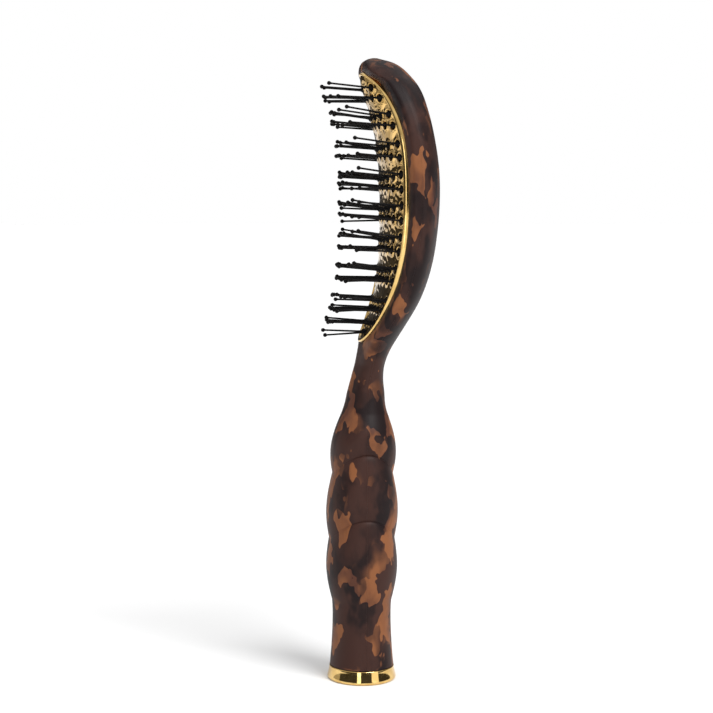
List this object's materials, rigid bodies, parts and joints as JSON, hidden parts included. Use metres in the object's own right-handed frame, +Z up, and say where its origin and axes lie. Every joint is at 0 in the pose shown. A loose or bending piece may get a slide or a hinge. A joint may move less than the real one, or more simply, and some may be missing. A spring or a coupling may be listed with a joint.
{
  "type": "vanity hairbrush",
  "caption": "Upright vanity hairbrush: curved oval head with a domed metal-look bristle plate and ball-tipped pins, lobed two-shell handle and weighted, capped base.",
  "frame": {"origin": "centre of the flat underside that the brush stands on", "axes": "+Z up the handle to the head, -X the way the bristles point, +X the back of the head; symmetric about y = 0"},
  "size_m": [0.0452, 0.0628, 0.24],
  "materials": {
    "tortoiseshell": "satin tortoiseshell: dark brown with caramel patches",
    "gold_plating": "mirror-polished gold plating",
    "black_nylon": "glossy black nylon",
    "black_rubber": "matt black rubber",
    "black_plastic": "matt black plastic",
    "plain_steel": "plain steel"
  },
  "bodies": {
    "body": {"front_shell": "tortoiseshell", "back_shell": "tortoiseshell", "bristle_plate": "gold_plating", "rubber_pad": "black_rubber", "base_cap": "gold_plating", "foot_pad": "black_rubber", "stem_plug": "black_plastic", "balance_weight": "plain_steel", "plug_screw": "plain_steel"},
    "strip_1": {"bristle_strip_1": "black_nylon"},
    "strip_2": {"bristle_strip_2": "black_nylon"},
    "strip_3": {"bristle_strip_3": "black_nylon"},
    "strip_4": {"bristle_strip_4": "black_nylon"},
    "strip_5": {"bristle_strip_5": "black_nylon"},
    "strip_6": {"bristle_strip_6": "black_nylon"},
    "strip_7": {"bristle_strip_7": "black_nylon"},
    "strip_8": {"bristle_strip_8": "black_nylon"},
    "strip_9": {"bristle_strip_9": "black_nylon"}
  },
  "joints": [
    {"name": "strip_1_rock", "type": "hinge", "parent": "body", "child": "strip_1", "pos_m": [0.004, 0, 0.2266], "axis": [0, 1, 0], "range_deg": [-4, 4], "stiffness_Nm_per_rad": 0.08},
    {"name": "strip_2_rock", "type": "hinge", "parent": "body", "child": "strip_2", "pos_m": [0.0077, 0, 0.2162], "axis": [0, 1, 0], "range_deg": [-4, 4], "stiffness_Nm_per_rad": 0.08},
    {"name": "strip_3_rock", "type": "hinge", "parent": "body", "child": "strip_3", "pos_m": [0.0099, 0, 0.2045], "axis": [0, 1, 0], "range_deg": [-4, 4], "stiffness_Nm_per_rad": 0.08},
    {"name": "strip_4_rock", "type": "hinge", "parent": "body", "child": "strip_4", "pos_m": [0.0107, 0, 0.1928], "axis": [0, 1, 0], "range_deg": [-4, 4], "stiffness_Nm_per_rad": 0.08},
    {"name": "strip_5_rock", "type": "hinge", "parent": "body", "child": "strip_5", "pos_m": [0.0109, 0, 0.1812], "axis": [0, 1, 0], "range_deg": [-4, 4], "stiffness_Nm_per_rad": 0.08},
    {"name": "strip_6_rock", "type": "hinge", "parent": "body", "child": "strip_6", "pos_m": [0.0106, 0, 0.1696], "axis": [0, 1, 0], "range_deg": [-4, 4], "stiffness_Nm_per_rad": 0.08},
    {"name": "strip_7_rock", "type": "hinge", "parent": "body", "child": "strip_7", "pos_m": [0.0094, 0, 0.1579], "axis": [0, 1, 0], "range_deg": [-4, 4], "stiffness_Nm_per_rad": 0.08},
    {"name": "strip_8_rock", "type": "hinge", "parent": "body", "child": "strip_8", "pos_m": [0.0069, 0, 0.1462], "axis": [0, 1, 0], "range_deg": [-4, 4], "stiffness_Nm_per_rad": 0.08},
    {"name": "strip_9_rock", "type": "hinge", "parent": "body", "child": "strip_9", "pos_m": [0.0032, 0, 0.1372], "axis": [0, 1, 0], "range_deg": [-4, 4], "stiffness_Nm_per_rad": 0.08}
  ]
}
